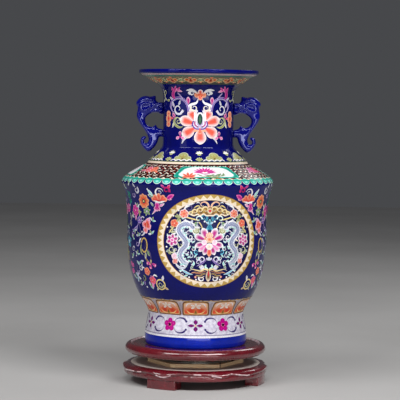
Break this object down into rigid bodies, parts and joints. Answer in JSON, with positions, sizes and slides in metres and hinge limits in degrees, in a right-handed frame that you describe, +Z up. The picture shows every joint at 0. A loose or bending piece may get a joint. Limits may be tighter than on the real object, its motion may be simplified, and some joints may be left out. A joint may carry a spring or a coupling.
{
  "type": "porcelain vase",
  "caption": "Tall shouldered porcelain vase with a flared mouth and two scroll handles, on a round revolving wooden stand with low feet.",
  "frame": {"origin": "on the floor under the centre of the stand", "axes": "+Z up, -Y is the front of the vase, the two handles lie along X"},
  "size_m": [0.201, 0.201, 0.4115],
  "materials": {
    "cobalt_glaze": "gloss",
    "enamel": "gloss",
    "red_lacquer": "gloss",
    "raw_plywood": "matt",
    "zinc_plate": "satin",
    "ball_steel": "polished",
    "cage_nylon": "matt"
  },
  "bodies": {
    "stand_base": {"base_board": "red_lacquer", "plywood_plate": "raw_plywood", "bearing_lower_plate": "zinc_plate", "centre_rivet": "zinc_plate", "base_screws": "zinc_plate", "stand_foot_right": "red_lacquer", "stand_foot_back": "red_lacquer", "stand_foot_front": "red_lacquer", "foot_screws": "zinc_plate"},
    "turntable": {"turntable_disc": "red_lacquer", "bearing_upper_plate": "zinc_plate", "turntable_screws": "zinc_plate"},
    "ball_ring": {"ball_cage": "cage_nylon", "bearing_balls": "ball_steel"},
    "vase": {"mouth_and_neck": "cobalt_glaze", "shoulder": "cobalt_glaze", "belly": "cobalt_glaze", "vase_foot": "cobalt_glaze", "handle_left": "cobalt_glaze", "handle_right": "cobalt_glaze"}
  },
  "joints": [
    {"name": "turntable_spin", "type": "hinge", "parent": "stand_base", "child": "turntable", "pos_m": [0, 0, 0.038], "axis": [0, 0, 1], "continuous": true},
    {"name": "ball_orbit", "type": "hinge", "parent": "stand_base", "child": "ball_ring", "pos_m": [0, 0, 0.03375], "axis": [0, 0, 1], "continuous": true},
    {"name": "vase_lift", "type": "slide", "parent": "turntable", "child": "vase", "axis": [0, 0, 1], "range_m": [0, 0.06]}
  ],
  "couplings": [
    {"joint": "ball_orbit", "follows": "turntable_spin", "ratio": 0.5}
  ]
}
